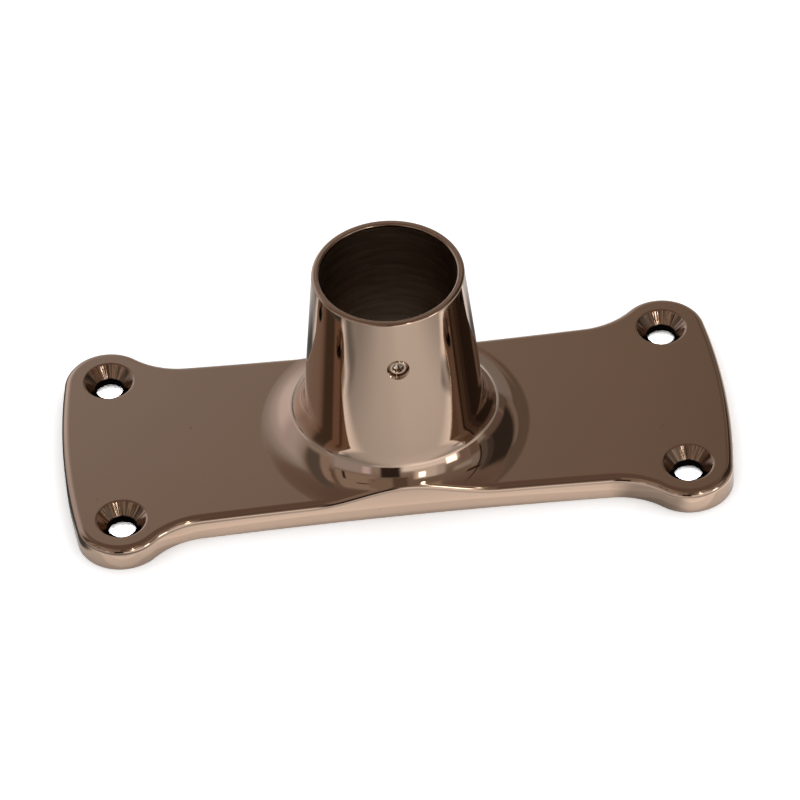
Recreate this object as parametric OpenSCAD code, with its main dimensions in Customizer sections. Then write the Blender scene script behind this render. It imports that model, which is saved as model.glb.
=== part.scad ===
// Wall flange for a one inch shower rod: a casting with a tall round socket, and the
// set screw that holds the rod in it. Millimetres.
// The back lies on Z = 0, the long side of the plate runs along X, and the socket opens
// towards +Z. The set screw looks towards -Y.

/* [Plate] */
// Overall length of the plate
plate_length = 128.9; // [120:0.1:140]
// Overall width, across the lobes round the screw holes
plate_width = 54.2; // [52:0.1:58]
// Width of the waist, beside the socket
waist_width = 40.7; // [40.2:0.1:42]
// Thickness of the plate at its edge
plate_thickness = 5.2; // [4.6:0.1:6]
// Radius that breaks the top edge all the way round
edge_round = 1.5; // [0.8:0.1:1.8]
// Radius of the bowed ends
end_radius = 134; // [90:1:250]
// Radius of the lobe round each screw hole
lobe_radius = 8.6; // [8:0.1:9.4]
// Radius of the hollow that joins a lobe to the waist
neck_radius = 14.9; // [12:0.1:18]
// Radius of the waist, which is drawn in very slightly
waist_radius = 1100; // [800:10:2000]

/* [Screw holes] */
// Distance between the screw holes along the plate
hole_spacing_x = 108.7; // [106:0.1:110]
// Distance between the screw holes across the plate
hole_spacing_y = 37.5; // [36:0.1:39]
// Diameter of the through hole
hole_diameter = 5.5; // [4.5:0.1:6]
// Diameter of the countersink at the face of the plate
countersink_diameter = 10.2; // [9.5:0.1:10.8]
// Width of the softened lip round each countersink
countersink_lip = 0.45; // [0.2:0.05:0.6]

/* [Socket] */
// Diameter of the rod that the socket takes
rod_diameter = 25.4; // [24:0.1:26]
// Radial clearance between the rod and the bore
rod_clearance = 0.3; // [0.15:0.05:0.5]
// Height of the rim above the wall
socket_height = 45; // [40:0.5:60]
// Width of the flat ring at the rim
rim_wall = 1.4; // [1.2:0.1:2]
// Slope of the outside of the socket, in degrees
socket_taper = 5.14; // [4:0.02:5.5]
// Radius that softens the outer edge of the rim
rim_round = 0.5; // [0.2:0.1:0.8]
// Lead-in chamfer at the mouth of the bore
mouth_chamfer = 0.25; // [0.1:0.05:0.4]

// Radius of the fillet that runs out of the socket onto the plate
fillet_radius = 9; // [8:0.1:10]

/* [Back] */
// Radius of the solid middle left under the socket
middle_radius = 19.3; // [18.5:0.1:20]
// Depth of the two pockets cast in the back
pocket_depth = 1.5; // [1:0.1:2]
// Width of the rim left round each pocket
pocket_rim = 3; // [2.5:0.1:3.4]

/* [Set screw] */
// Diameter of the set screw
screw_diameter = 4; // [3:0.1:4.5]
// Radial clearance of the set screw in its tapped hole
screw_clearance = 0.05; // [0.03:0.01:0.1]
// Depth of the middle of the set screw below the rim
screw_below_rim = 10.7; // [8:0.1:14]
// How far the set screw lies below the surface of the socket
screw_sunk = 0.3; // [0.2:0.05:0.5]
// Distance that the cupped point keeps from the bore
screw_to_bore = 0.1; // [0.05:0.05:0.3]
// Width across the flats of the hexagon socket
key_width = 2; // [1.5:0.1:2.2]
// Depth of the hexagon socket
key_depth = 1.1; // [0.8:0.1:1.3]

/* [Hidden] */
$fn = 96;

bore_radius = rod_diameter / 2 + rod_clearance;
rim_radius = bore_radius + rim_wall;
hole_radius = hole_diameter / 2;
screw_radius = screw_diameter / 2;
half_length = plate_length / 2;
half_waist = waist_width / 2;
past = 1; // how far a cut runs past the face that it opens

// Radius of the outside of the socket at a height above the wall
function outside_radius(z) = rim_radius + (socket_height - z) * tan(socket_taper);

// The fillet touches the taper of the socket and the flat of the plate. It is wider than
// the waist, so it rises over both long edges.
foot_radius = outside_radius(plate_thickness + fillet_radius) + fillet_radius / cos(socket_taper);

// Centres of the arcs in one corner of the outline
lobe_y = plate_width / 2 - lobe_radius;
end_x = half_length - end_radius;
lobe_x = end_x + sqrt(pow(end_radius - lobe_radius, 2) - pow(lobe_y, 2));
waist_y = half_waist + waist_radius;
to_neck_from_waist = waist_radius - neck_radius;
to_neck_from_lobe = lobe_radius + neck_radius;
lobe_apart = norm([lobe_x, lobe_y - waist_y]);
lobe_way = [lobe_x, lobe_y - waist_y] / lobe_apart;
neck_along = (pow(to_neck_from_waist, 2) - pow(to_neck_from_lobe, 2) + pow(lobe_apart, 2))
    / (2 * lobe_apart);
neck_aside = sqrt(pow(to_neck_from_waist, 2) - pow(neck_along, 2));
neck_x = neck_along * lobe_way[0] + neck_aside * lobe_way[1];
neck_y = waist_y + neck_along * lobe_way[1] - neck_aside * lobe_way[0];

// Directions at which one arc hands over to the next
end_to_lobe = atan2(lobe_y, lobe_x - end_x);
lobe_to_neck = atan2(neck_y - lobe_y, neck_x - lobe_x);
neck_to_waist = atan2(neck_y - waist_y, neck_x);
inset_radius = waist_radius + edge_round;
foot_y = (pow(foot_radius, 2) + pow(waist_y, 2) - pow(inset_radius, 2)) / (2 * waist_y);
foot_x = sqrt(pow(foot_radius, 2) - pow(foot_y, 2));
waist_to_foot = atan2(foot_y - waist_y, foot_x);

// Steps along each arc, up the rounded edge, up the fillet and over the rim
end_steps = 5;
lobe_steps = 14;
neck_steps = 4;
waist_steps = 3;
foot_steps = 12;
round_steps = 4;
side_steps = 22;
fillet_steps = 8;
rim_steps = 4;

// Points on an arc, each with its outward direction: [x, y, out_x, out_y]
function arc(x, y, radius, from, to, steps, out) = [
    for (i = [0 : steps - 1])
        let (a = from + (to - from) * i / steps)
        [x + radius * cos(a), y + radius * sin(a), out * cos(a), out * sin(a)]
];

// One quarter of the outline, from the middle of the +X end to the middle of the +Y edge
quarter = concat(
    arc(end_x, 0, end_radius, 0, end_to_lobe, end_steps, 1),
    arc(lobe_x, lobe_y, lobe_radius, end_to_lobe, lobe_to_neck, lobe_steps, 1),
    arc(neck_x, neck_y, neck_radius, lobe_to_neck - 180, neck_to_waist, neck_steps, -1),
    arc(0, waist_y, waist_radius, neck_to_waist, waist_to_foot, waist_steps, -1),
    arc(0, waist_y, waist_radius, waist_to_foot, -90, foot_steps, -1),
    [[0, half_waist, 0, 1]]
);
q = len(quarter) - 1;
around = 4 * q;

// Point i of the whole outline, counted anticlockwise
function edge(i) =
    let (
        side = floor(i / q),
        j = i - side * q,
        e = quarter[side % 2 == 0 ? j : q - j],
        sx = side == 1 || side == 2 ? -1 : 1,
        sy = side > 1 ? -1 : 1
    )
    [sx * e[0], sy * e[1], sx * e[2], sy * e[3]];

function inset(e, by) = [e[0] - e[2] * by, e[1] - e[3] * by];

// Height of the top surface at a distance from the socket's axis, and its slope
function top_height(r) = plate_thickness + (r >= foot_radius ? 0 :
    fillet_radius - sqrt(pow(fillet_radius, 2) - pow(foot_radius - r, 2)));
function top_slope(r) = r >= foot_radius ? 0 :
    (foot_radius - r) / sqrt(pow(fillet_radius, 2) - pow(foot_radius - r, 2));

// Angle at which the top surface leaves the edge, seen square to the edge
function lean(e, by) =
    let (p = inset(e, by))
    atan(top_slope(norm(p)) * (p[0] * e[2] + p[1] * e[3]) / norm(p));
function edge_lean(e) = lean(e, edge_round * (1 - sin(lean(e, 0))));
function round_end(e) = inset(e, edge_round * (1 - sin(edge_lean(e))));

// Point k of the rounded edge: the arc touches the upright wall and the top surface
function edge_point(e, k) =
    let (
        tilt = edge_lean(e),
        centre_z = top_height(norm(round_end(e))) - edge_round * cos(tilt),
        a = (90 - tilt) * k / round_steps,
        p = inset(e, edge_round * (1 - cos(a)))
    )
    [p[0], p[1], centre_z + edge_round * sin(a)];

// The loop from which the fillet climbs to the socket: over each long edge it follows
// the rounded edge, and between them it is an arc on the flat of the plate
foot_angle = atan2(foot_y, foot_x);
function side_arc(middle) = [
    for (i = [1 : side_steps - 1])
        let (a = middle + foot_angle * (2 * i / side_steps - 1))
        [foot_radius * cos(a), foot_radius * sin(a), plate_thickness]
];
foot_loop = concat(
    [for (i = [q - foot_steps : q + foot_steps]) edge_point(edge(i), round_steps)],
    side_arc(180),
    [for (i = [3 * q - foot_steps : 3 * q + foot_steps]) edge_point(edge(i), round_steps)],
    side_arc(0)
);
loop_count = len(foot_loop);

function at_radius(p, r, z) = [r * p[0] / norm([p[0], p[1]]), r * p[1] / norm([p[0], p[1]]), z];

// Step k up the fillet, from point p of the loop to the foot of the taper
function fillet_point(p, k) =
    let (
        start = asin(max(0, foot_radius - norm([p[0], p[1]])) / fillet_radius),
        a = start + (90 - socket_taper - start) * k / fillet_steps
    )
    at_radius(p, foot_radius - fillet_radius * sin(a), plate_thickness + fillet_radius * (1 - cos(a)));

// Step k over the rounded rim, from the top of the taper to the flat ring
function rim_point(p, k) =
    let (
        a = socket_taper + (90 - socket_taper) * k / rim_steps,
        z = socket_height - rim_round
    )
    at_radius(p, outside_radius(z) - rim_round * (1 - cos(a)), z + rim_round * sin(a));

cast_points = concat(
    [for (i = [0 : around - 1]) let (e = edge(i)) [e[0], e[1], 0]],
    [for (k = [0 : round_steps]) for (i = [0 : around - 1]) edge_point(edge(i), k)],
    side_arc(180),
    side_arc(0),
    [for (k = [1 : fillet_steps]) for (p = foot_loop) fillet_point(p, k)],
    [for (k = [0 : rim_steps]) for (p = foot_loop) rim_point(p, k)]
);
socket_rings = fillet_steps + rim_steps + 1;

// Numbers of the points above, ring by ring
rim_ring = around * (round_steps + 1);
left_arc = around * (round_steps + 2);
right_arc = left_arc + side_steps - 1;
climb = right_arc + side_steps - 1;
function loop_ring(k) = k == 0 ? concat(
        [for (i = [q - foot_steps : q + foot_steps]) rim_ring + i],
        [for (i = [0 : side_steps - 2]) left_arc + i],
        [for (i = [3 * q - foot_steps : 3 * q + foot_steps]) rim_ring + i],
        [for (i = [0 : side_steps - 2]) right_arc + i]
    ) : [for (i = [0 : loop_count - 1]) climb + (k - 1) * loop_count + i];

function band(low, high) = [
    for (i = [0 : len(low) - 1])
        let (j = (i + 1) % len(low))
        each [[low[i], high[i], high[j]], [low[i], high[j], low[j]]]
];
function edge_ring(k) = [for (i = [0 : around - 1]) around * k + i];
function flipped(faces, flip) = flip ? [
    for (f = faces) [for (i = [len(f) - 1 : -1 : 0]) f[i]]
] : faces;

// Number of outline point i, or of its mirror image in another quarter
function mirrored(i, side) =
    side == 0 ? i : side == 1 ? 2 * q - i : side == 2 ? 2 * q + i : (around - i) % around;

// Strips across the plate, from outline point i to the point opposite, seen from above
function strips(from, to, side) = flipped([
    for (i = [from : to - 1])
        let (
            a = mirrored(i, side),
            b = mirrored(i + 1, side),
            c = mirrored(i + 1, 3 - side),
            d = mirrored(i, 3 - side)
        )
        a == d ? [a, c, b] : b == c ? [a, d, b] : [a, d, c, b]
], side % 2 == 1);
function raised(faces, by) = [for (f = faces) [for (i = f) i + by]];

// Flat between the end of those strips and the foot of the fillet, one quarter of it
strips_end = q - foot_steps - waist_steps;
half_side = side_steps / 2;
function foot_arc(j, side) =
    j == 0 ? rim_ring + mirrored(q - foot_steps, side) :
    (side == 0 || side == 3 ? right_arc : left_arc)
        + (side % 2 == 0 ? side_steps - 1 - j : j - 1);
function quarter_flat(side) =
    let (corner = rim_ring + mirrored(strips_end, side))
    flipped(concat(
        [for (i = [strips_end : q - foot_steps - 1])
            [rim_ring + mirrored(i, side), foot_arc(1, side), rim_ring + mirrored(i + 1, side)]],
        [for (j = [1 : half_side - 1]) [corner, foot_arc(j + 1, side), foot_arc(j, side)]]
    ), side % 2 == 1);
function middle_flat(side) = flipped([[
    rim_ring + mirrored(strips_end, side),
    rim_ring + mirrored(strips_end, 3 - side),
    foot_arc(half_side, side)
]], side % 2 == 1);

cast_faces = concat(
    flipped(strips(0, q, 0), true),
    flipped(strips(0, q, 2), true),
    [for (i = [0 : around - 1])
        let (j = (i + 1) % around)
        [i, around + i, around + j, j]],
    [for (k = [1 : round_steps]) each band(edge_ring(k), edge_ring(k + 1))],
    raised(concat(strips(0, strips_end, 0), strips(0, strips_end, 2)), rim_ring),
    [for (side = [0 : 3]) each quarter_flat(side)],
    middle_flat(0),
    middle_flat(2),
    [for (k = [0 : socket_rings - 1]) each band(loop_ring(k), loop_ring(k + 1))],
    flipped([loop_ring(socket_rings)], true)
);

// The outside of the casting in one skin, lofted from the outline up the rounded edge, up
// the fillet and the taper, and over the rim
module cast_body() {
    polyhedron(points = cast_points, faces = cast_faces, convexity = 8);
}

// Bore for the rod, right through, with a small lead-in
module bore() {
    translate([0, 0, -past])
        cylinder(r = bore_radius, h = socket_height + 2 * past);
    translate([0, 0, socket_height - mouth_chamfer])
        cylinder(r1 = bore_radius, r2 = bore_radius + mouth_chamfer + past, h = mouth_chamfer + past);
}

// Countersunk hole: straight hole, 90 degree seat and a softened lip
seat_radius = countersink_diameter / 2 - countersink_lip;
lip_depth = countersink_lip / 2;
seat_depth = lip_depth + seat_radius - hole_radius;

module screw_hole() {
    translate([0, 0, -past])
        cylinder(r = hole_radius, h = plate_thickness + 2 * past);
    translate([0, 0, plate_thickness - seat_depth])
        cylinder(r1 = hole_radius, r2 = seat_radius + past, h = seat_radius + past - hole_radius);
    translate([0, 0, plate_thickness - lip_depth])
        cylinder(r1 = seat_radius, r2 = seat_radius + 2 * (lip_depth + past), h = lip_depth + past);
}

// Shallow pocket cast in the back, on each side of the socket
module pockets() {
    difference() {
        translate([0, 0, -past])
            linear_extrude(height = past + pocket_depth)
                polygon([for (i = [0 : around - 1]) inset(edge(i), pocket_rim)]);
        translate([0, 0, -2 * past])
            cylinder(r = middle_radius, h = pocket_depth + 3 * past);
    }
}

// Tapped hole through the socket wall, with its mouth softened
screw_z = socket_height - screw_below_rim;
screw_face = outside_radius(screw_z) - screw_sunk;
tapped_radius = screw_radius + screw_clearance;

module tapped_hole() {
    translate([0, 0, screw_z])
        rotate([90, 0, 0]) {
            cylinder(r = tapped_radius, h = outside_radius(screw_z) + past);
            translate([0, 0, outside_radius(screw_z) - 0.25])
                cylinder(r1 = tapped_radius, r2 = tapped_radius + 1, h = 1);
        }
}

module flange() {
    color("#a88c78")
        difference() {
            cast_body();
            bore();
            pockets();
            tapped_hole();
            for (x = [-1, 1], y = [-1, 1])
                translate([x * hole_spacing_x / 2, y * hole_spacing_y / 2, 0])
                    screw_hole();
        }
}

// Set screw with a hexagon socket and a cupped point
module set_screw() {
    tip = bore_radius + screw_to_bore;
    edge = 0.25;
    cup = 1;
    color("#8f8a84")
        translate([0, 0, screw_z])
            rotate([90, 0, 0])
                difference() {
                    rotate_extrude()
                        polygon([
                            [0, tip + cup * 0.5],
                            [cup, tip],
                            [screw_radius - edge, tip],
                            [screw_radius, tip + edge],
                            [screw_radius, screw_face - edge],
                            [screw_radius - edge, screw_face],
                            [0, screw_face]
                        ]);
                    translate([0, 0, screw_face - key_depth])
                        cylinder(r = key_width / sqrt(3), h = key_depth + past, $fn = 6);
                }
}

flange();
set_screw();
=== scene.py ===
from math import asin, atan, atan2, cos, degrees, hypot, pi, radians, sin, sqrt, tan

import bpy
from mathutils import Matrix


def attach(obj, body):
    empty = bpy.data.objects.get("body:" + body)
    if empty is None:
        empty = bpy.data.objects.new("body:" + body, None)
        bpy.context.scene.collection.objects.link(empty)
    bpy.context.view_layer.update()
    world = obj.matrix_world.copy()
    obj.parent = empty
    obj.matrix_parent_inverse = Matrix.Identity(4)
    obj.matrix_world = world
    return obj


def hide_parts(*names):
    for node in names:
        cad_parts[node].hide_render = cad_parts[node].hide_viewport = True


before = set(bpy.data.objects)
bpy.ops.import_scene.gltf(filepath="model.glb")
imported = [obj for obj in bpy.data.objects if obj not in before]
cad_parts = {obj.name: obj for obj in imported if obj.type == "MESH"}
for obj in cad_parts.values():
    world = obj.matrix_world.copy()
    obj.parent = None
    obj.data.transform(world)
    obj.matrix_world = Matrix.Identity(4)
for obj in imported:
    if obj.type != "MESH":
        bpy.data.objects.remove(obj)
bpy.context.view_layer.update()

# Sizes of the flange in millimetres and its taper in degrees, as in the part's source

PLATE_LENGTH = 128.9
PLATE_WIDTH = 54.2
WAIST_WIDTH = 40.7
PLATE_THICKNESS = 5.2
EDGE_ROUND = 1.5
END_RADIUS = 134.0
LOBE_RADIUS = 8.6
NECK_RADIUS = 14.9
WAIST_RADIUS = 1100.0
HOLE_X = 108.7 / 2
HOLE_Y = 37.5 / 2
HOLE_RADIUS = 2.75
SEAT_RADIUS = 4.65
LIP = 0.45
BORE_RADIUS = 13.0
RIM_RADIUS = 14.4
SOCKET_HEIGHT = 45.0
TAPER = 5.14
RIM_ROUND = 0.5
FILLET_RADIUS = 9.0
MIDDLE_RADIUS = 19.3
POCKET_DEPTH = 1.5
POCKET_RIM = 3.0
SCREW_Z = SOCKET_HEIGHT - 10.7
SCREW_RADIUS = 2.0
SCREW_CLEARANCE = 0.05
SCREW_SUNK = 0.3
SCREW_TO_BORE = 0.1
KEY_WIDTH = 2.0
KEY_CORNER = KEY_WIDTH / sqrt(3)

# How far a cut runs past the face that it opens
PAST = 1.0

# Finer sizes that only the visible pieces have, in millimetres

INNER_ROUND = 0.45
LIP_FLARE = 0.6
LIP_FLARE_RISE = 0.3
POINT_CHAMFER = 0.25
CUP_RADIUS = 1.0
CUP_DEPTH = 0.5
CUP_MIDDLE = 0.05
THREAD_PITCH = 0.35
THREAD_DEPTH = 0.22
THREAD_ROOT = 0.15
THREAD_STOP = 0.6

# The power by which the lip of a screw hole curves
LIP_CURVE = 1.5

# The tapped hole: where its cut starts inside the bore, and its softened mouth as distances
# out from its wall and up from the socket's face
TAPPED_START = 10.0
TAPPED_MOUTH = [(0.0, -0.25), (0.12, -0.1), (1.0, 0.75)]

# The set screw's chamfered end: distances in from the thread and down from its face
SCREW_END = [(0.0, 0.52), (0.48, 0.04), (0.54, 0.0)]

# What is cut into that end: the number of sides, then radii and heights from its face
SCREW_CUTS = {
    "key_socket": (6, [(KEY_CORNER, -0.75), (KEY_CORNER, PAST)]),
    "drill_point": (48, [(0.02, -1.35), (0.98, -0.78), (0.98, -0.6)]),
    "key_mouth": (48, [(KEY_CORNER - 0.2, -0.16), (KEY_CORNER + 0.24, 0.2)]),
}

# Steps along the arcs of the shape

END_STEPS = 8
LOBE_STEPS = 28
NECK_STEPS = 12
WAIST_STEPS = 6
FOOT_STEPS = 26
SIDE_STEPS = 56
ROUND_STEPS = 9
FILLET_STEPS = 28
RIM_STEPS = 6
LIP_STEPS = 6
TURNED_STEPS = 96
SCREW_STEPS = 64
CUP_STEPS = 48

# Finish of the meshes

MERGE_DISTANCE = 0.0005
SHARP_ANGLE = 30
NORMAL_WEIGHT = 80
MILLIMETRE = 0.001


def outside_radius(z):
    """Radius of the socket's tapered outside at a height."""
    return RIM_RADIUS + (SOCKET_HEIGHT - z) * tan(radians(TAPER))


FOOT_RADIUS = outside_radius(PLATE_THICKNESS + FILLET_RADIUS) + FILLET_RADIUS / cos(radians(TAPER))


# The outline of the plate: tangent arcs for the bowed end, the lobe, the neck and the waist

def arc(x, y, radius, start, end, steps, out):
    """Points on an arc, each with its outward direction, without the last one."""
    points = []
    for i in range(steps):
        a = radians(start + (end - start) * i / steps)
        points.append((x + radius * cos(a), y + radius * sin(a), out * cos(a), out * sin(a)))
    return points


def angle(x, y):
    return degrees(atan2(y, x))


def quarter_outline():
    """One quarter, from the middle of the +X end to the middle of the +Y edge, and the angle
    at which the fillet's foot leaves the edge."""
    lobe_y = PLATE_WIDTH / 2 - LOBE_RADIUS
    end_x = PLATE_LENGTH / 2 - END_RADIUS
    lobe_x = end_x + sqrt((END_RADIUS - LOBE_RADIUS) ** 2 - lobe_y ** 2)
    waist_y = WAIST_WIDTH / 2 + WAIST_RADIUS
    waist_to_neck = WAIST_RADIUS - NECK_RADIUS
    lobe_to_neck = LOBE_RADIUS + NECK_RADIUS
    apart = hypot(lobe_x, lobe_y - waist_y)
    way = (lobe_x / apart, (lobe_y - waist_y) / apart)
    along = (waist_to_neck ** 2 - lobe_to_neck ** 2 + apart ** 2) / (2 * apart)
    aside = sqrt(waist_to_neck ** 2 - along ** 2)
    neck_x = along * way[0] + aside * way[1]
    neck_y = waist_y + along * way[1] - aside * way[0]
    inset_radius = WAIST_RADIUS + EDGE_ROUND
    foot_y = (FOOT_RADIUS ** 2 + waist_y ** 2 - inset_radius ** 2) / (2 * waist_y)
    foot_x = sqrt(FOOT_RADIUS ** 2 - foot_y ** 2)
    end_turn = angle(lobe_x - end_x, lobe_y)
    lobe_turn = angle(neck_x - lobe_x, neck_y - lobe_y)
    neck_turn = angle(neck_x, neck_y - waist_y)
    foot_turn = angle(foot_x, foot_y - waist_y)
    points = arc(end_x, 0, END_RADIUS, 0, end_turn, END_STEPS, 1)
    points += arc(lobe_x, lobe_y, LOBE_RADIUS, end_turn, lobe_turn, LOBE_STEPS, 1)
    points += arc(neck_x, neck_y, NECK_RADIUS, lobe_turn - 180, neck_turn, NECK_STEPS, -1)
    points += arc(0, waist_y, WAIST_RADIUS, neck_turn, foot_turn, WAIST_STEPS, -1)
    points += arc(0, waist_y, WAIST_RADIUS, foot_turn, -90, FOOT_STEPS, -1)
    points.append((0, WAIST_WIDTH / 2, 0, 1))
    return points, angle(foot_x, foot_y)


quarter, foot_angle = quarter_outline()
QUARTER = len(quarter) - 1
AROUND = 4 * QUARTER


def edge(i):
    """Point i of the whole outline, counted anticlockwise, with its outward direction."""
    side = (i // QUARTER) % 4
    j = i % QUARTER
    x, y, out_x, out_y = quarter[j if side % 2 == 0 else QUARTER - j]
    sx = -1 if side in (1, 2) else 1
    sy = -1 if side > 1 else 1
    return (sx * x, sy * y, sx * out_x, sy * out_y)


def inset(e, by):
    """A place inside a point of the outline."""
    return (e[0] - e[2] * by, e[1] - e[3] * by)


def top_height(r):
    """Height of the plate's top and of the fillet, at a radius."""
    rise = max(0.0, FOOT_RADIUS - r)
    return PLATE_THICKNESS + FILLET_RADIUS - sqrt(FILLET_RADIUS ** 2 - rise ** 2)


def top_slope(r):
    """How steeply that surface falls outwards, at a radius."""
    rise = max(0.0, FOOT_RADIUS - r)
    return rise / sqrt(FILLET_RADIUS ** 2 - rise ** 2)


def lean(e, by):
    """Angle at which the top surface leaves the edge, seen square to the edge."""
    x, y = inset(e, by)
    r = hypot(x, y)
    return atan(top_slope(r) * (x * e[2] + y * e[3]) / r)


def edge_point(e, k):
    """Point k of the rounded edge, between the upright wall and the top surface."""
    tilt = lean(e, EDGE_ROUND * (1 - sin(lean(e, 0))))
    x, y = inset(e, EDGE_ROUND * (1 - sin(tilt)))
    centre = top_height(hypot(x, y)) - EDGE_ROUND * cos(tilt)
    a = (pi / 2 - tilt) * k / ROUND_STEPS
    x, y = inset(e, EDGE_ROUND * (1 - cos(a)))
    return (x, y, centre + EDGE_ROUND * sin(a))


def edge_top(first, last):
    """Where the rounded edge meets the top surface, from one point to another."""
    return [edge_point(edge(i), ROUND_STEPS) for i in range(first, last + 1)]


def fillet_point(p, k):
    """Point k on the way from the foot of the fillet up to the foot of the taper."""
    r = hypot(p[0], p[1])
    start = asin(min(1.0, max(0.0, FOOT_RADIUS - r) / FILLET_RADIUS))
    a = start + (radians(90 - TAPER) - start) * k / FILLET_STEPS
    out = FOOT_RADIUS - FILLET_RADIUS * sin(a)
    return (out * p[0] / r, out * p[1] / r, PLATE_THICKNESS + FILLET_RADIUS * (1 - cos(a)))


def side_arc(middle):
    """The foot of the fillet where it lies on the flat top, round a direction."""
    points = []
    for i in range(1, SIDE_STEPS):
        a = radians(middle + foot_angle * (2 * i / SIDE_STEPS - 1))
        points.append((FOOT_RADIUS * cos(a), FOOT_RADIUS * sin(a), PLATE_THICKNESS))
    return points


# Modelling helpers

def deselect():
    if bpy.context.object and bpy.context.object.mode != "OBJECT":
        bpy.ops.object.mode_set(mode="OBJECT")
    bpy.ops.object.select_all(action="DESELECT")


def pick(obj):
    """Selects one object alone and makes it the active one."""
    deselect()
    obj.select_set(True)
    bpy.context.view_layer.objects.active = obj


def loft(name, rings):
    """A circle set on the first ring of points, whose edges are then extruded from one ring
    of points to the next."""
    deselect()
    bpy.ops.mesh.primitive_circle_add(vertices=len(rings[0]), fill_type="NOTHING")
    obj = bpy.context.object
    obj.name = name
    mesh = obj.data
    for v, p in zip(mesh.vertices, rings[0]):
        v.co = p
    last = list(range(len(rings[0])))
    for ring in rings[1:]:
        reached = set(last)
        for v in mesh.vertices:
            v.select = v.index in reached
        for e in mesh.edges:
            e.select = e.vertices[0] in reached and e.vertices[1] in reached
        bpy.ops.object.mode_set(mode="EDIT")
        bpy.ops.mesh.select_mode(type="EDGE")
        bpy.ops.mesh.extrude_edges_move()
        bpy.ops.object.mode_set(mode="OBJECT")
        newest = max(last)
        above = {}
        for e in mesh.edges:
            low, high = sorted(e.vertices)
            if low in reached and high > newest:
                above[low] = high
        last = [above[i] for i in last]
        for i, p in zip(last, ring):
            mesh.vertices[i].co = p
    return obj


def circle_ring(r, z, steps):
    return [(r * cos(2 * pi * i / steps), r * sin(2 * pi * i / steps), z) for i in range(steps)]


def select_open_edges(obj):
    """Goes into edit mode with the open border of the mesh selected."""
    pick(obj)
    bpy.ops.object.mode_set(mode="EDIT")
    bpy.ops.mesh.select_mode(type="EDGE")
    bpy.ops.mesh.select_all(action="DESELECT")
    bpy.ops.mesh.select_non_manifold(
        extend=False, use_wire=False, use_boundary=True, use_multi_face=False,
        use_non_contiguous=False, use_verts=False)


def face_outwards(obj):
    pick(obj)
    bpy.ops.object.mode_set(mode="EDIT")
    bpy.ops.mesh.select_all(action="SELECT")
    bpy.ops.mesh.normals_make_consistent(inside=False)
    bpy.ops.object.mode_set(mode="OBJECT")


def close_ends(obj):
    """Caps every open ring with a face."""
    select_open_edges(obj)
    bpy.ops.mesh.edge_face_add()
    face_outwards(obj)


def fill_border(obj, test, fill):
    """Fills the open border of the mesh with an operator, where the test on its place holds."""
    select_open_edges(obj)
    bpy.ops.object.mode_set(mode="OBJECT")
    mesh = obj.data
    for e in mesh.edges:
        if e.select:
            a, b = (mesh.vertices[i].co for i in e.vertices)
            e.select = test((a + b) / 2)
    for v in mesh.vertices:
        v.select = False
    for e in mesh.edges:
        if e.select:
            for i in e.vertices:
                mesh.vertices[i].select = True
    bpy.ops.object.mode_set(mode="EDIT")
    fill()
    bpy.ops.object.mode_set(mode="OBJECT")


def turned(name, profile, steps=TURNED_STEPS):
    """A closed turned body about Z from (radius, height) pairs."""
    obj = loft(name, [circle_ring(r, z, steps) for r, z in profile])
    close_ends(obj)
    return obj


def place(obj, move, turn_x=0.0):
    """Turns and moves a body, and keeps its place in its mesh."""
    pick(obj)
    obj.rotation_euler = (turn_x, 0, 0)
    obj.location = move
    bpy.ops.object.transform_apply(location=True, rotation=True, scale=True)
    return obj


def cut(obj, cutter):
    """Cuts one body out of another and removes the cutter."""
    pick(obj)
    modifier = obj.modifiers.new("cut", "BOOLEAN")
    modifier.operation = "DIFFERENCE"
    modifier.solver = "EXACT"
    modifier.object = cutter
    bpy.ops.object.modifier_apply(modifier="cut")
    bpy.data.objects.remove(cutter)


def finish_surface(obj):
    """Smooth shading that leaves flat faces truly flat, and the step to metres."""
    pick(obj)
    bpy.ops.object.shade_smooth_by_angle(angle=radians(SHARP_ANGLE))
    modifier = obj.modifiers.new("weights", "WEIGHTED_NORMAL")
    modifier.keep_sharp = True
    modifier.weight = NORMAL_WEIGHT
    bpy.ops.object.modifier_apply(modifier="weights")
    obj.scale = (MILLIMETRE, MILLIMETRE, MILLIMETRE)
    bpy.ops.object.transform_apply(location=True, rotation=True, scale=True)


# The casting: the rounded edge of the plate, then the fillet, the turned socket and the bore

def socket_profile():
    """Radius and height over the rim, from the top of the taper, and down the bore."""
    t = radians(TAPER)
    z = SOCKET_HEIGHT - RIM_ROUND
    points = []
    for i in range(RIM_STEPS + 1):
        a = t + (pi / 2 - t) * i / RIM_STEPS
        points.append((outside_radius(z) - RIM_ROUND * (1 - cos(a)), z + RIM_ROUND * sin(a)))
    for i in range(RIM_STEPS + 1):
        a = pi / 2 * i / RIM_STEPS
        points.append((BORE_RADIUS + INNER_ROUND * (1 - sin(a)),
                       SOCKET_HEIGHT - INNER_ROUND * (1 - cos(a))))
    points.append((BORE_RADIUS, 0.0))
    return points


def plate_wall():
    """The upright wall of the plate and its rounded edge, open above and below."""
    outline = [edge(i) for i in range(AROUND)]
    rings = [[(e[0], e[1], 0.0) for e in outline]]
    for k in range(ROUND_STEPS + 1):
        rings.append([edge_point(e, k) for e in outline])
    return loft("flange_casting", rings)


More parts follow.
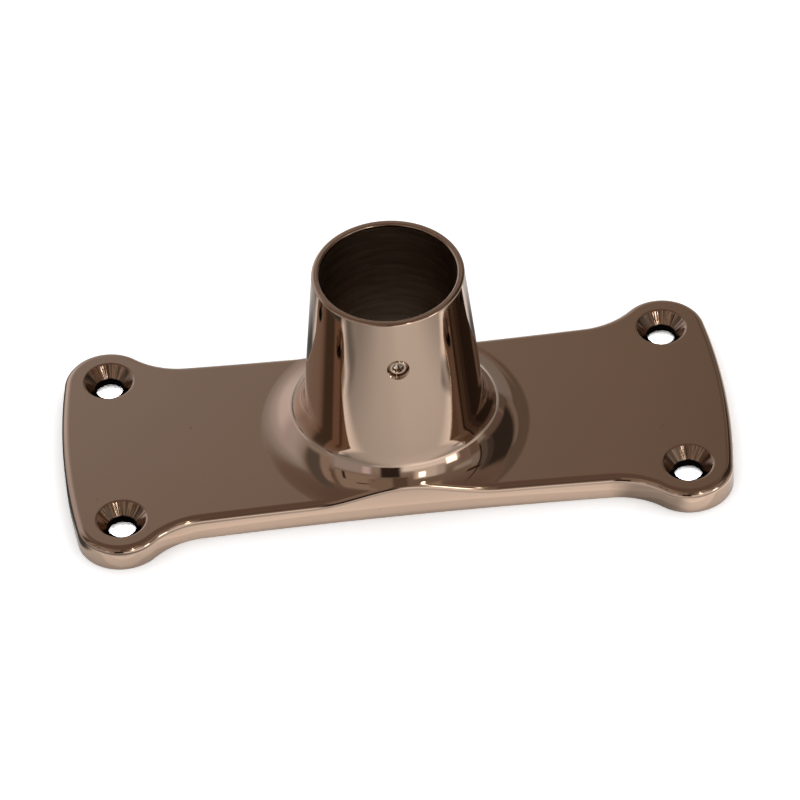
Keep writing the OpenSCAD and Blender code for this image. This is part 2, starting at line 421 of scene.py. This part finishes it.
def socket_skin():
    """The fillet from its foot, the taper, the rim and the bore, open at both ends."""
    first = QUARTER - FOOT_STEPS
    last = QUARTER + FOOT_STEPS
    foot = edge_top(first, last) + side_arc(180)
    foot += edge_top(2 * QUARTER + first, 2 * QUARTER + last) + side_arc(0)
    rings = [foot]
    for k in range(1, FILLET_STEPS + 1):
        rings.append([fillet_point(p, k) for p in foot])
    round_axis = [(p[0] / hypot(p[0], p[1]), p[1] / hypot(p[0], p[1])) for p in foot]
    for r, z in socket_profile():
        rings.append([(r * x, r * y, z) for x, y in round_axis])
    return loft("socket", rings)


def build_casting():
    """The two skins as one mesh, closed with the flat ends of the top and with the back."""
    plate = plate_wall()
    socket = socket_skin()
    pick(plate)
    socket.select_set(True)
    bpy.ops.object.join()
    bpy.ops.object.mode_set(mode="EDIT")
    bpy.ops.mesh.select_mode(type="VERT")
    bpy.ops.mesh.select_all(action="SELECT")
    bpy.ops.mesh.remove_doubles(threshold=MERGE_DISTANCE)
    bpy.ops.object.mode_set(mode="OBJECT")
    half_way = PLATE_THICKNESS / 2
    for side in (1, -1):
        fill_border(plate, lambda c: c.z > half_way and c.x * side > 0,
                    bpy.ops.mesh.edge_face_add)
    fill_border(plate, lambda c: c.z < half_way, bpy.ops.mesh.fill)
    face_outwards(plate)
    return plate


def pocket_cutter():
    """The two shallow pockets in the back."""
    rings = []
    for z in (-PAST, POCKET_DEPTH):
        rings.append([(*inset(edge(i), POCKET_RIM), z) for i in range(AROUND)])
    cutter = loft("pocket_cutter", rings)
    close_ends(cutter)
    land = turned("pocket_middle", [(MIDDLE_RADIUS, -2 * PAST),
                                    (MIDDLE_RADIUS, POCKET_DEPTH + PAST)])
    cut(cutter, land)
    return cutter


def screw_hole_cutter(x, y):
    """Straight hole, seat at 90 degrees and a softened lip at the face of the plate."""
    top = PLATE_THICKNESS
    lip_depth = LIP / 2
    seat = top - lip_depth - (SEAT_RADIUS - HOLE_RADIUS)
    profile = [(HOLE_RADIUS, -PAST), (HOLE_RADIUS, seat), (SEAT_RADIUS, top - lip_depth)]
    for i in range(1, LIP_STEPS + 1):
        way = i / LIP_STEPS
        profile.append((SEAT_RADIUS + LIP * way * (1 + way) / 2,
                        top - lip_depth * (1 - way) ** LIP_CURVE))
    widest = SEAT_RADIUS + LIP + LIP_FLARE
    profile += [(widest, top + LIP_FLARE_RISE), (widest, top + PAST)]
    return place(turned("screw_hole_cutter", profile), (x, y, 0))


def tapped_hole_cutter():
    """Hole for the set screw, through the front wall of the socket, with its mouth softened."""
    face = outside_radius(SCREW_Z)
    r = SCREW_RADIUS + SCREW_CLEARANCE
    profile = [(r, TAPPED_START)] + [(r + out, face + up) for out, up in TAPPED_MOUTH]
    return place(turned("tapped_hole_cutter", profile), (0, 0, SCREW_Z), radians(90))


casting = build_casting()
cut(casting, pocket_cutter())
for hole_x in (-HOLE_X, HOLE_X):
    for hole_y in (-HOLE_Y, HOLE_Y):
        cut(casting, screw_hole_cutter(hole_x, hole_y))
cut(casting, tapped_hole_cutter())
finish_surface(casting)
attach(casting, "root")
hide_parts("flange")


# The set screw: a thread, a chamfered end, a hexagon socket and a cupped point

def build_set_screw():
    face = outside_radius(SCREW_Z) - SCREW_SUNK
    tip = BORE_RADIUS + SCREW_TO_BORE
    profile = [(CUP_RADIUS, tip), (SCREW_RADIUS - POINT_CHAMFER, tip),
               (SCREW_RADIUS, tip + POINT_CHAMFER)]
    z = tip + THREAD_PITCH
    while z + THREAD_PITCH < face - THREAD_STOP:
        profile += [(SCREW_RADIUS - THREAD_DEPTH, z + THREAD_ROOT),
                    (SCREW_RADIUS, z + THREAD_PITCH)]
        z += THREAD_PITCH
    profile += [(SCREW_RADIUS - within, face - down) for within, down in SCREW_END]
    screw = turned("set_screw_body", profile, SCREW_STEPS)
    cup = [(CUP_MIDDLE, tip + CUP_DEPTH), (CUP_RADIUS, tip), (2 * CUP_RADIUS, tip - CUP_DEPTH)]
    cut(screw, turned("cup", cup, CUP_STEPS))
    for name, (sides, hollow) in SCREW_CUTS.items():
        cut(screw, turned(name, [(r, face + up) for r, up in hollow], sides))
    place(screw, (0, 0, SCREW_Z), radians(90))
    finish_surface(screw)
    return screw


set_screw = build_set_screw()
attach(set_screw, "root")
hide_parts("set_screw")


# Shader helpers

class Value:
    """A number that changes over the surface; sums and products of it add Math nodes."""

    def __init__(self, shop, socket):
        self.shop = shop
        self.socket = socket

    def math(self, operation, *others):
        return self.shop.math(operation, self, *others)

    def __add__(self, other):
        return self.math("ADD", other)

    __radd__ = __add__

    def __sub__(self, other):
        return self.math("SUBTRACT", other)

    def __rsub__(self, other):
        return self.shop.math("SUBTRACT", other, self)

    def __neg__(self):
        return 0 - self

    def __mul__(self, other):
        return self.math("MULTIPLY", other)

    __rmul__ = __mul__

    def size(self):
        """The value without its sign."""
        return self.math("ABSOLUTE")

    def step(self, start, end):
        """Runs from 0 to 1 while the value runs from start to end, softly."""
        return self.shop.node("ShaderNodeMapRange",
                              {"interpolation_type": "SMOOTHSTEP"},
                              {"Value": self, "From Min": start, "From Max": end})

    def band(self, start, full, fading, end):
        """Is 1 from full to fading, and 0 before start and after end."""
        return self.step(start, full) * (1 - self.step(fading, end))


class Shop:
    """Adds nodes to one material or to the world."""

    def __init__(self, owner):
        owner.use_nodes = True
        self.tree = owner.node_tree
        self.tree.nodes.clear()

    def node(self, kind, settings=None, inputs=None, output=0):
        """A node with its settings, then the values or links of its sockets."""
        made = self.tree.nodes.new(kind)
        for name, value in (settings or {}).items():
            setattr(made, name, value)
        for name, value in (inputs or {}).items():
            socket = made.inputs[name]
            if isinstance(value, Value):
                self.tree.links.new(value.socket, socket)
            else:
                socket.default_value = value
        return Value(self, made.outputs[output])

    def math(self, operation, *values):
        return self.node("ShaderNodeMath", {"operation": operation}, dict(enumerate(values)))

    def mix(self, factor, a, b):
        return self.node("ShaderNodeMix", {"data_type": "RGBA", "clamp_factor": True},
                         {0: factor, 6: a, 7: b}, 2)

    def noise(self, vector, scale, detail=2.0, roughness=0.5):
        return self.node("ShaderNodeTexNoise", {"noise_dimensions": "3D"},
                         {"Vector": vector, "Scale": scale, "Detail": detail,
                          "Roughness": roughness})

    def stretched(self, vector, scale):
        return self.node("ShaderNodeMapping", {"vector_type": "POINT"},
                         {"Vector": vector, "Scale": scale})

    def place(self):
        """The place on the piece itself, in metres."""
        return self.node("ShaderNodeTexCoord", None, None, "Object")

    def ray(self, kind):
        """Is 1 for one kind of ray."""
        return self.node("ShaderNodeLightPath", None, None, kind)

    def parts(self, vector):
        split = self.node("ShaderNodeSeparateXYZ", None, {"Vector": vector}).socket.node
        return [Value(self, part) for part in split.outputs]

    def vector(self, x, y, z):
        return self.node("ShaderNodeCombineXYZ", None, {"X": x, "Y": y, "Z": z})

    def surface(self, shader, kind="ShaderNodeOutputMaterial"):
        output = self.tree.nodes.new(kind)
        self.tree.links.new(shader.socket, output.inputs["Surface"])

    def metal(self, tone, rough, height):
        """Makes the surface a metal with this colour, roughness and relief."""
        bump = self.node("ShaderNodeBump", None,
                         {"Strength": BUMP_STRENGTH, "Distance": 1.0, "Height": height})
        self.surface(self.node("ShaderNodeBsdfPrincipled", None,
                               {"Base Color": tone, "Metallic": 1.0, "Roughness": rough,
                                "Normal": bump}))


def length(a, b):
    return (a * a + b * b).math("SQRT")


def blend(a, b, amount):
    """Runs from a to b while the amount runs from 0 to 1."""
    return a + amount * (b - a)


def from_screw_hole(x, y):
    """How far a place is from the axis of the nearest screw hole: along X, along Y, in all."""
    across = x.size() - HOLE_X * MILLIMETRE
    along = y.size() - HOLE_Y * MILLIMETRE
    return across, along, length(across, along)


def dress(obj, material):
    obj.data.materials.clear()
    obj.data.materials.append(material)


# Colours of the metal, of the marks on it, and of the painted shade and painted reflections in the
# bore, the screw holes and their seats

NICKEL = (0.560, 0.414, 0.316, 1)
NICKEL_DEEP = (0.525, 0.390, 0.298, 1)
NICKEL_BACK = (0.44, 0.36, 0.30, 1)
# Painted shade: the bore's two tones are darker on the whole than the plating, over real turning
# rings
BORE_DARK = (0.22, 0.17, 0.13, 1)
BORE_PALE = (0.60, 0.47, 0.36, 1)
# Painted shade: the walls of the screw holes are made nearly black
HOLE_PAINTED_SHADE = (0.035, 0.026, 0.020, 1)
# Painted reflection: dark spokes on the countersink seats
SEAT_PAINTED_REFLECTION = (0.13, 0.088, 0.06, 1)
RIM_MARK = (0.30, 0.22, 0.175, 1)
PIT_TONE = (0.30, 0.22, 0.17, 1)
STEEL = (0.62, 0.50, 0.40, 1)
STEEL_DEEP = (0.40, 0.31, 0.24, 1)

# Where one finish of the plating gives way to another: start and end, in metres

BORE_WALL = (0.01302, 0.01312)
BORE_TOP = (0.0443, 0.0446)
RIM_BOTTOM = (0.0446, 0.0448)
RIM_EDGE = (0.0139, 0.0142)
HOLE_WALL = (0.00277, 0.0029)
HOLE_BOTTOM = (0.0, 0.0001)
SEAT_EDGE = (0.0046, 0.0050)
SEAT_BOTTOM = (0.0001, 0.0002)
BACK_TOP = (0.0, 0.0017)

# How often each pattern repeats in a metre

WAVES_SCALE = 26.0
GRAIN_SCALE = 900.0
PIT_SCALE = 520.0
LINES_SCALE = (60.0, 2200.0, 2200.0)
TURNING_OUT = 9000.0
TURNING_UP = 1500.0
TURNING_ROUND = 140.0
BURR_OUT = 4500.0
BURR_ROUND = 500.0
CHATTER_OUT = 160.0
STEEL_GRAIN_SCALE = 1500.0

# The chatter round a screw hole, which also places the painted dark reflections on the seats:
# repeats in a radian, and its shift from hole to hole

CHATTER_ROUND = 9.0
CHATTER_SHIFT_X = 5.0
CHATTER_SHIFT_Y = 11.0

# Where a pattern turns into a mark or into a painted reflection: start and end, in the pattern's
# own strength

PIT_FROM = (0.77, 0.82)
SEAT_REFLECTION_FROM = (0.42, 0.60)
RIM_MARK_FROM = (0.40, 0.70)

# How strongly each finish and each mark, and the painted shade and painted reflections, take their
# own colour

BACK_AMOUNT = 0.5
HOLE_SHADE_AMOUNT = 0.92
SEAT_REFLECTION_AMOUNT = 0.72
RIM_MARK_AMOUNT = 0.35
PIT_AMOUNT = 0.35

# Roughness of the polish, and what each finish and pattern adds to it

POLISH_ROUGH = 0.030
WAVES_ROUGH = 0.03
LINES_ROUGH = 0.02
BORE_ROUGH = 0.20
BORE_TURNING_ROUGH = 0.15
RIM_ROUGH = 0.03
RIM_TURNING_ROUGH = 0.08
BACK_ROUGH = 0.12
HOLE_ROUGH = 0.15
SEAT_ROUGH = 0.03
STEEL_ROUGH = 0.05
STEEL_GRAIN_ROUGH = 0.12

# Height of each pattern in the relief, in metres, and how strongly the relief is seen

WAVES_HEIGHT = 0.00006
LINES_HEIGHT = 0.0000011
GRAIN_HEIGHT = 0.0000006
BORE_TURNING_HEIGHT = 0.00002
RIM_TURNING_HEIGHT = 0.00001
BURR_HEIGHT = 0.00007
CHATTER_HEIGHT = 0.00012
PIT_HEIGHT = 0.000003
STEEL_HEIGHT = 0.00001
BUMP_STRENGTH = 0.5


# Materials of the casting and the set screw

def polishing_lines(shop, place_on):
    """Fine lines along the plate."""
    along = shop.stretched(place_on, LINES_SCALE)
    return shop.noise(along, scale=1.0, detail=3.0, roughness=0.6)


def turning_marks(shop, x, y, z, radius):
    """Fine rings round the socket's axis, left by the tool in the bore and on the rim."""
    rings = shop.vector(radius * TURNING_OUT + x * TURNING_ROUND, z * TURNING_UP,
                        y * TURNING_ROUND)
    return shop.noise(rings, scale=1.0, detail=3.0)


def burr_marks(shop, x, y, radius):
    """Short dents along the rim, where its burr was taken off."""
    dents = shop.vector(x * BURR_ROUND, y * BURR_ROUND, radius * BURR_OUT)
    return shop.noise(dents, scale=1.0, detail=2.0)


def chatter_and_reflection_spokes(shop, x, y):
    """Spokes round each screw hole, left by the countersink, with others at each hole; the same
    spokes place painted dark reflections on the seats.
    """
    across, along, away = from_screw_hole(x, y)
    shift = x.math("SIGN") * CHATTER_SHIFT_X + y.math("SIGN") * CHATTER_SHIFT_Y
    spokes = shop.vector(across.math("ARCTAN2", along) * CHATTER_ROUND, away * CHATTER_OUT,
                         shift)
    return shop.noise(spokes, scale=1.0, detail=2.0)


def plating_material():
    """Warm polished nickel: fine polishing lines, small pits, a turned rim, a dull bore darkened
    with painted shade, walls in the screw holes made dark with painted shade, and painted dark
    reflections on the seats."""
    material = bpy.data.materials.new("polished_nickel")
    shop = Shop(material)
    place_on = shop.place()
    x, y, z = shop.parts(place_on)
    radius = length(x, y)
    _, _, from_hole = from_screw_hole(x, y)
    in_bore = (1 - radius.step(*BORE_WALL)) * (1 - z.step(*BORE_TOP))
    on_rim = z.step(*RIM_BOTTOM) * (1 - radius.step(*RIM_EDGE))
    in_hole = (1 - from_hole.step(*HOLE_WALL)) * z.step(*HOLE_BOTTOM)
    on_seat = (1 - from_hole.step(*SEAT_EDGE)) * z.step(*SEAT_BOTTOM) * (1 - in_hole)
    on_back = 1 - z.step(*BACK_TOP)
    waves = shop.noise(place_on, WAVES_SCALE, detail=2.0)
    grain = shop.noise(place_on, GRAIN_SCALE, detail=3.0, roughness=0.6)
    pits = shop.noise(place_on, PIT_SCALE, detail=1.0).step(*PIT_FROM)
    lines = polishing_lines(shop, place_on)
    turning = turning_marks(shop, x, y, z, radius)
    burr = burr_marks(shop, x, y, radius)
    chatter_and_reflections = chatter_and_reflection_spokes(shop, x, y)
    tone = shop.mix(waves, NICKEL, NICKEL_DEEP)
    tone = shop.mix(on_back * BACK_AMOUNT, tone, NICKEL_BACK)
    # Painted shade darkens the bore, with its turning rings in the tone
    tone = shop.mix(in_bore, tone, shop.mix(turning, BORE_DARK, BORE_PALE))
    # Painted shade on the walls of the screw holes
    tone = shop.mix(in_hole * HOLE_SHADE_AMOUNT, tone, HOLE_PAINTED_SHADE)
    # Painted dark reflections in spokes on the seats, over their real chatter relief
    seat_painted_reflections = on_seat * chatter_and_reflections.step(*SEAT_REFLECTION_FROM)
    tone = shop.mix(seat_painted_reflections * SEAT_REFLECTION_AMOUNT, tone, SEAT_PAINTED_REFLECTION)
    rim_marks = on_rim * turning.step(*RIM_MARK_FROM)
    tone = shop.mix(rim_marks * RIM_MARK_AMOUNT, tone, RIM_MARK)
    tone = shop.mix(pits * PIT_AMOUNT, tone, PIT_TONE)
    rough = (POLISH_ROUGH + waves * WAVES_ROUGH + lines * LINES_ROUGH
             + in_bore * (BORE_ROUGH + turning * BORE_TURNING_ROUGH)
             + on_rim * (RIM_ROUGH + turning * RIM_TURNING_ROUGH)
             + on_back * BACK_ROUGH + in_hole * HOLE_ROUGH + on_seat * SEAT_ROUGH)
    height = (waves * WAVES_HEIGHT + lines * LINES_HEIGHT + grain * GRAIN_HEIGHT
              + (in_bore * BORE_TURNING_HEIGHT + on_rim * RIM_TURNING_HEIGHT) * turning
              + on_rim * burr * BURR_HEIGHT + on_seat * chatter_and_reflections * CHATTER_HEIGHT
              - pits * PIT_HEIGHT)
    shop.metal(tone, rough, height)
    return material


def screw_material():
    """Plain steel with a fine grain from the wrench and the lathe."""
    material = bpy.data.materials.new("screw_steel")
    shop = Shop(material)
    grain = shop.noise(shop.place(), STEEL_GRAIN_SCALE, detail=3.0, roughness=0.6)
    tone = shop.mix(grain, STEEL, STEEL_DEEP)
    shop.metal(tone, STEEL_ROUGH + grain * STEEL_GRAIN_ROUGH, grain * STEEL_HEIGHT)
    return material


dress(casting, plating_material())
dress(set_screw, screw_material())


# The surroundings: sizes in metres

ROOM_RADIUS = 8.0
ROOM_SEGMENTS = 64
ROOM_RINGS = 32
FLOOR_RADIUS = ROOM_RADIUS * 1.01
FLOOR_SIDES = 96
FLOOR_DROP = 0.00002

# Colours of the floor: to the metal at a level of 2, to soft light, and to the camera

BLACK = (0.0, 0.0, 0.0, 1)
FLOOR_TO_METAL = (2.0, 1.97, 1.96, 1)
FLOOR_TO_LIGHT = (0.85, 0.85, 0.85, 1)
FLOOR_TO_CAMERA = (1.30, 1.30, 1.30, 1)
# Painted light on the floor under the screw holes, as the camera sees it
HOLE_TO_CAMERA = (7.0, 7.0, 7.0, 1)

# The plate's outline on the floor, roughly: its reach, and where the lobes stand out

REACH_X = 0.064
REACH_Y = 0.0205
LOBES_OUT = 0.0066
LOBES_FROM = (0.041, 0.051)

# Levels of the floor near the plate, as the metal sees it: painted light along the plate's edge
# and painted shade to the sides and to the left

NEAR_LEVEL = 0.80
NEAR_MIDDLE = 0.008
ASIDE_FROM = (0.022, 0.066)
ASIDE_DIM = 0.32
EDGE_LEVEL = 1.38
EDGE_TO = (0.002, 0.010)
LEFT_FROM = (-0.01, 0.02)
LEFT_AWAY = (0.004, 0.012)
LEFT_DIM = 0.12

# Painted shadows near the plate: a band across X, a band or a border along Y, and how dim

BEHIND_X = (0.012, 0.023, 0.035, 0.044)
BEHIND_Y = (0.0205, 0.023, 0.027, 0.048)
BEHIND_DIM = 0.88
LEFT_END_X = (0.0635, 0.0645, 0.070, 0.078)
LEFT_END_Y = (-0.029, -0.021)
LEFT_END_DIM = 0.9
NECK_X = (0.0385, 0.0425, 0.049, 0.054)
NECK_Y = (0.017, 0.021, 0.031, 0.036)
NECK_DIM = 0.52

# Where the plate meets the floor: a painted contact shadow at the plate, and a painted line of
# light outside it

CONTACT_LEVEL = 0.92
CONTACT_TO = (0.0002, 0.0010)
CONTACT_DIM = 0.20
CONTACT_PALE_FROM = (0.0024, 0.0028)
CONTACT_PALE = 0.17
CONTACT_FADE_FROM = (0.0029, 0.0036)
CONTACT_FADE = 0.06

# The left end of the plate: how much painted shade dims the floor there, and how far out

LEFT_PLATE_FROM = (0.040, 0.046)
LEFT_PLATE_AWAY = (0.0032, 0.0044)
LEFT_PLATE_DIM = 0.22
LEFT_TIP_FROM = (0.043, 0.051)
LEFT_TIP_DIM = 0.18
LEFT_PLATE_TO = (0.012, 0.022)

# The floor under the screw holes: how far the painted shadow there reaches, and how dark it is to
# the metal

UNDER_HOLE = (0.0035, 0.006)
UNDER_HOLE_DIM = 0.95

# The floor further away: where it begins, its level, and other levels by direction, which paint
# light and shade on it

FAR_FROM = (0.05, 0.15)
FAR_LEVEL = 0.75

# Each row has the middle, half width and softness of a direction in degrees, and its level.
FLOOR_LEVELS = [
    (-38, 36, 24, 0.80),
    (50, 36, 16, 0.34),
    (-88, 14, 14, 0.42),
    (-128, 26, 16, 0.54),
    (-164, 12, 12, 0.78),
    (180, 9, 8, 0.95),
    (145, 30, 20, 1.35),
]


def direction(x, y):
    """Direction round the object in degrees, counted from behind it towards its right."""
    return x.math("ARCTAN2", y) * (180 / pi)


def sector(turn, middle, half, soft):
    """Is 1 where the direction is within half a width of the middle."""
    off = (turn - middle).math("WRAP", 180.0, -180.0).size()
    return 1 - off.step(half - soft / 2, half + soft / 2)


def far_level(turn):
    """Level of the floor further away, by direction: painted light and shade."""
    level = FAR_LEVEL
    for middle, half, soft, bright in FLOOR_LEVELS:
        level = blend(level, bright, sector(turn, middle, half, soft))
    return level


def contact_level(away):
    """Factor on the floor's level close to the plate, by the distance from it: a painted contact
    shadow and a painted pale line.
    """
    level = CONTACT_LEVEL - (1 - away.step(*CONTACT_TO)) * CONTACT_DIM
    pale = CONTACT_PALE - away.step(*CONTACT_FADE_FROM) * CONTACT_FADE
    return level + away.step(*CONTACT_PALE_FROM) * pale


def floor_level(x, y):
    """How bright the floor looks to the metal, with painted light and painted shadows near the
    plate.
    """
    across = x.size()
    out_x = (across - REACH_X).math("MAXIMUM", 0.0)
    out_y = (y.size() - (across.step(*LOBES_FROM) * LOBES_OUT + REACH_Y)).math("MAXIMUM", 0.0)
    away = length(out_x, out_y)
    left = -x
    front = -y
    level = NEAR_LEVEL - (x - NEAR_MIDDLE).size().step(*ASIDE_FROM) * ASIDE_DIM
    level = blend(level, far_level(direction(x, y)), away.step(*FAR_FROM))
    # Painted light: a brighter band of floor along the plate's edge
    level = blend(level, EDGE_LEVEL, 1 - away.step(*EDGE_TO))
    # Painted shade on the floor to the left of the socket
    level = level - left.step(*LEFT_FROM) * away.step(*LEFT_AWAY) * LEFT_DIM
    # Painted shadows on the floor behind the plate, beyond its left end and at the right neck
    level = level * (1 - across.band(*BEHIND_X) * y.band(*BEHIND_Y) * BEHIND_DIM)
    level = level * (1 - left.band(*LEFT_END_X) * y.step(*LEFT_END_Y) * LEFT_END_DIM)
    level = level * (1 - x.band(*NECK_X) * front.band(*NECK_Y) * NECK_DIM)
    # Painted shade on the floor along the left part of the plate
    dim = left.step(*LEFT_PLATE_FROM) * away.step(*LEFT_PLATE_AWAY) * LEFT_PLATE_DIM
    dim = dim + left.step(*LEFT_TIP_FROM) * LEFT_TIP_DIM
    level = level * (1 - dim * (1 - away.step(*LEFT_PLATE_TO)))
    return level * contact_level(away)


def build_floor():
    """A large pale floor: white to the camera, with the object's shadow kept, a little darker for
    soft light, and for the metal as floor_level says, with painted light and painted shadows.
    Under the screw holes it has painted light to the camera and painted shadow to the metal."""
    deselect()
    bpy.ops.mesh.primitive_circle_add(vertices=FLOOR_SIDES, radius=FLOOR_RADIUS,
                                      fill_type="NGON", location=(0, 0, -FLOOR_DROP))
    floor = bpy.context.object
    floor.name = "floor"
    bpy.ops.object.transform_apply(location=True, rotation=True, scale=True)
    material = bpy.data.materials.new("pale_floor")
    shop = Shop(material)
    x, y, _ = shop.parts(shop.place())
    _, _, from_hole = from_screw_hole(x, y)
    # Painted light to the camera and painted shadow to the metal under the screw holes
    under_hole = 1 - from_hole.step(*UNDER_HOLE)
    level = floor_level(x, y) * (1 - under_hole * UNDER_HOLE_DIM)
    to_metal = shop.mix(level * (1 / FLOOR_TO_METAL[0]), BLACK, FLOOR_TO_METAL)
    to_camera = shop.mix(under_hole, FLOOR_TO_CAMERA, HOLE_TO_CAMERA)
    seen = (shop.ray("Is Camera Ray") + shop.ray("Is Transmission Ray")).math("MINIMUM", 1.0)
    tone = shop.mix(shop.ray("Is Glossy Ray"), FLOOR_TO_LIGHT, to_metal)
    tone = shop.mix(seen, tone, to_camera)
    shop.surface(shop.node("ShaderNodeBsdfDiffuse", None, {"Color": tone}))
    dress(floor, material)


# The dome's own colours, and the elevations in degrees where one gives way to the next

DOME_LOW = (0.40, 0.35, 0.32, 1)
DOME_MIDDLE = (0.25, 0.20, 0.165, 1)
DOME_TOP = (0.17, 0.12, 0.10, 1)
DOME_MIDDLE_FROM = (6.0, 34.0)
DOME_TOP_FROM = (36.0, 70.0)

# What the polished metal mirrors all round: soft panels on the dome

# Each row has the panel's middle and half width round the object in degrees, counted from
# behind it towards its right, its lowest and highest elevation, the softness of its sides
# and of its ends, and its colour.
PANELS = [
    # Pale wall behind and to the left
    (-33, 36, -8, 46, 16, 9, (0.41, 0.39, 0.39)),
    (-36, 28, -8, 38, 20, 12, (0.57, 0.53, 0.56)),
    (-28, 13, -8, 26, 16, 16, (0.83, 0.79, 0.82)),
    # Dim corner and dark doorway to the right
    (29, 18, 35, 53, 7, 6, (0.16, 0.13, 0.11)),
    (34, 13, 26, 37, 7, 6, (0.16, 0.13, 0.11)),
    (27, 13, -8, 26, 6, 6, (0.29, 0.27, 0.26)),
    (44, 6, -8, 26, 4, 6, (0.15, 0.12, 0.10)),
    (66, 16, -8, 14, 8, 5, (0.17, 0.13, 0.11)),
    (60, 16, 13, 52, 4, 6, (0.045, 0.036, 0.031)),
    (79, 5, 13, 52, 3, 8, (0.08, 0.065, 0.06)),
    (86, 4, 8, 50, 3, 8, (0.14, 0.12, 0.10)),
    (38, 3, 18, 46, 3, 4, (0.26, 0.22, 0.20)),
    # Furniture between the doorway and the windows
    (98, 6, -10, 22, 4, 5, (0.20, 0.15, 0.12)),
    (97, 5, 24, 40, 4, 5, (0.31, 0.28, 0.27)),
    (111, 7, -10, 24, 6, 5, (0.26, 0.20, 0.18)),
    (113, 11, 27, 35, 6, 5, (0.42, 0.40, 0.38)),
    (91, 1.2, 10, 60, 1.4, 8, (0.02, 0.012, 0.008)),
    (96, 9, 43, 46.5, 3, 1.5, (0.035, 0.02, 0.015)),
    # Windows at the front right
    (149, 31, -12, 12, 7, 8, (1.12, 1.10, 1.12)),
    (140, 6, 11, 33, 6, 6, (0.60, 0.57, 0.57)),
    (155, 12, 11, 33, 6, 5, (0.80, 0.78, 0.74)),
    (146, 12, 48, 60, 8, 8, (0.42, 0.35, 0.29)),
    (126, 6, 1, 15, 2, 3, (3.2, 3.2, 3.2)),
    # Shelves and a pale door at the front left
    (-83, 9, 8, 60, 8, 10, (0.13, 0.115, 0.105)),
    (-97, 5, 6, 50, 4, 6, (0.38, 0.30, 0.27)),
    (-107, 5, 26, 50, 4, 6, (0.18, 0.13, 0.10)),
    (-130, 22, 23, 56, 6, 6, (0.37, 0.31, 0.26)),
    (-128, 21, -8, 19, 4, 4, (0.47, 0.43, 0.45)),
    (-143, 4, 2, 18, 4, 4, (0.76, 0.69, 0.75)),
    (-118, 1.6, 23, 38, 1.5, 3, (0.03, 0.018, 0.01)),
    (-146, 16, 41.5, 43.5, 3, 1, (0.08, 0.03, 0.015)),
    # Dark place at the camera, and the two lamps beside it
    (-160, 16, 30, 52, 6, 6, (0.29, 0.23, 0.19)),
    (-168, 10, -4, 25, 4, 4, (0.04, 0.03, 0.025)),
    (-178, 8, 26, 54, 4, 4, (0.14, 0.105, 0.085)),
    (159, 3.4, 18, 30, 2.4, 4, (4.2, 4.0, 3.8)),
    (157, 1.8, 42, 46, 2, 2, (8.0, 7.4, 6.6)),
]


def build_room():
    """A dome round the whole scene, seen only in reflections."""
    deselect()
    bpy.ops.mesh.primitive_uv_sphere_add(segments=ROOM_SEGMENTS, ring_count=ROOM_RINGS,
                                         radius=ROOM_RADIUS)
    room = bpy.context.object
    room.name = "room"
    material = bpy.data.materials.new("room")
    shop = Shop(material)
    x, y, z = shop.parts(shop.place())
    turn = direction(x, y)
    rise = (z * (1 / ROOM_RADIUS)).math("ARCSINE") * (180 / pi)
    tone = shop.mix(rise.step(*DOME_MIDDLE_FROM), DOME_LOW, DOME_MIDDLE)
    tone = shop.mix(rise.step(*DOME_TOP_FROM), tone, DOME_TOP)
    for middle, half, low, high, soft_side, soft_end, color in PANELS:
        soft = soft_end / 2
        upright = rise.band(low - soft, low + soft, high - soft, high + soft)
        shape = sector(turn, middle, half, soft_side) * upright
        tone = shop.mix(shape, tone, (*color, 1))
    shop.surface(shop.node("ShaderNodeEmission", None, {"Color": tone, "Strength": 1.0}))
    material.cycles.emission_sampling = "NONE"
    dress(room, material)
    room.visible_camera = False
    room.visible_diffuse = False
    room.visible_transmission = False
    room.visible_volume_scatter = False
    room.visible_shadow = False


def build_world():
    """Plain white light of strength 1 from all round."""
    world = bpy.data.worlds.new("studio")
    bpy.context.scene.world = world
    shop = Shop(world)
    white = {"Color": (1, 1, 1, 1), "Strength": 1.0}
    shop.surface(shop.node("ShaderNodeBackground", None, white), "ShaderNodeOutputWorld")
    world.cycles.sampling_method = "NONE"


build_floor()
build_room()
build_world()


# The camera, at the photograph's viewing angle

# Its sensor and lens are in millimetres, its place in metres and its turn in degrees.
SENSOR_WIDTH = 36.0
LENS = 232.16
CAMERA_PLACE = (-0.04669219, -0.70046161, 0.71208295)
CAMERA_TURN = (44.99823, 2.037146, -5.937763)
CAMERA_NEAREST = 0.05
CAMERA_FARTHEST = 20.0

camera_data = bpy.data.cameras.new("camera")
camera = bpy.data.objects.new("camera", camera_data)
bpy.context.collection.objects.link(camera)
bpy.context.scene.camera = camera
camera_data.sensor_width = SENSOR_WIDTH
camera_data.lens = LENS
camera_data.clip_start = CAMERA_NEAREST
camera_data.clip_end = CAMERA_FARTHEST
camera.location = CAMERA_PLACE
camera.rotation_euler = [radians(turn) for turn in CAMERA_TURN]

bpy.context.scene.view_settings.view_transform = "Standard"
